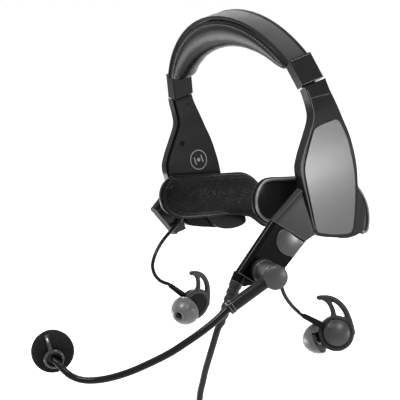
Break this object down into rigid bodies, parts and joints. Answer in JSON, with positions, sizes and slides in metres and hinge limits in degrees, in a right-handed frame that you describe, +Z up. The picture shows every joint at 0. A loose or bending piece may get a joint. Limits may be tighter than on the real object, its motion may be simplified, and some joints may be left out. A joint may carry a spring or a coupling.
{
  "type": "aviation headset",
  "caption": "In-ear aviation headset: padded headband, sliding side arms with temple pads, a detachable boom microphone module, earphones on short leads and a coiled cord with a plug.",
  "frame": {"origin": "middle of the headband cushion's underside, where it rests on the crown of the head", "axes": "+Z up, -Y the way the wearer faces, +X the wearer's left, where the boom module is"},
  "size_m": [0.1932, 0.2575, 0.3871],
  "materials": {
    "black_rubber": "soft satin rubber",
    "board_green": "solder mask",
    "brass": "polished",
    "dark_metal": "black anodised",
    "foam": "open cell foam",
    "gloss_black": "glossy moulded shell",
    "grey_plastic": "satin grey moulding",
    "leatherette": "soft black leatherette",
    "plate_grey": "satin grey paint, fading darker to one end",
    "satin_black": "satin moulded cover",
    "silicone": "translucent grey silicone",
    "steel": "brushed",
    "strap_fabric": "woven grey cover"
  },
  "bodies": {
    "headband": {"headband_cover": "strap_fabric", "headband_spring": "steel", "headband_cushion": "leatherette", "end_cap_left": "gloss_black", "end_cap_right": "gloss_black"},
    "arm_left": {"slider_strip_left": "steel", "arm_shell_left": "gloss_black", "arm_cover_left": "satin_black", "face_plate_left": "plate_grey", "circuit_board_left": "board_green", "cover_screws_left": "steel", "module_dock_left": "satin_black", "pad_pin_left": "steel", "pad_bracket_left": "satin_black", "module_body": "satin_black", "pivot_base": "satin_black", "pivot_pin": "steel", "cable_relief": "black_rubber", "main_cord": "black_rubber", "cord_coil": "black_rubber", "coil_tie": "satin_black", "plug_boot": "black_rubber", "plug_barrel": "satin_black", "plug_pin": "brass", "ear_lead_left": "black_rubber", "bud_housing_left": "satin_black", "bud_cap_left": "grey_plastic", "bud_driver_left": "steel", "ear_wing_left": "black_rubber", "ear_tip_left": "silicone"},
    "arm_right": {"slider_strip_right": "steel", "arm_shell_right": "gloss_black", "arm_cover_right": "satin_black", "face_plate_right": "plate_grey", "circuit_board_right": "board_green", "cover_screws_right": "steel", "module_dock_right": "satin_black", "dock_blank": "satin_black", "pad_pin_right": "steel", "pad_bracket_right": "satin_black", "ear_lead_right": "black_rubber", "bud_housing_right": "satin_black", "bud_cap_right": "grey_plastic", "bud_driver_right": "steel", "ear_wing_right": "black_rubber", "ear_tip_right": "silicone"},
    "pad_left": {"pad_carrier_left": "satin_black", "pad_cushion_left": "leatherette"},
    "pad_right": {"pad_carrier_right": "satin_black", "pad_cushion_right": "leatherette"},
    "boom": {"pivot_hub": "gloss_black", "hub_cap": "grey_plastic", "boom_tube": "dark_metal", "boom_collar": "steel", "boom_gooseneck": "black_rubber", "mic_holder": "black_rubber", "mic_capsule": "grey_plastic", "windscreen": "foam"},
    "latch": {"latch_button": "grey_plastic"}
  },
  "joints": [
    {"name": "left_size_slide", "type": "slide", "parent": "headband", "child": "arm_left", "axis": [0.342, 0, -0.9397], "range_m": [0, 0.013]},
    {"name": "right_size_slide", "type": "slide", "parent": "headband", "child": "arm_right", "axis": [-0.342, 0, -0.9397], "range_m": [0, 0.013]},
    {"name": "left_pad_swivel", "type": "hinge", "parent": "arm_left", "child": "pad_left", "pos_m": [0.06815, -0.012, -0.118], "axis": [0, 0, 1], "range_deg": [-8, 8]},
    {"name": "right_pad_swivel", "type": "hinge", "parent": "arm_right", "child": "pad_right", "pos_m": [-0.06815, -0.012, -0.118], "axis": [0, 0, 1], "range_deg": [-8, 8]},
    {"name": "boom_swing", "type": "hinge", "parent": "arm_left", "child": "boom", "pos_m": [0.079, -0.0805, -0.139], "axis": [0.9588, -0.284, 0], "range_deg": [-90, 30]},
    {"name": "latch_press", "type": "slide", "parent": "arm_left", "child": "latch", "axis": [-0.9925, 0.1219, 0], "range_m": [0, 0.0011], "stiffness_N_per_m": 900, "springref_m": -0.001}
  ]
}
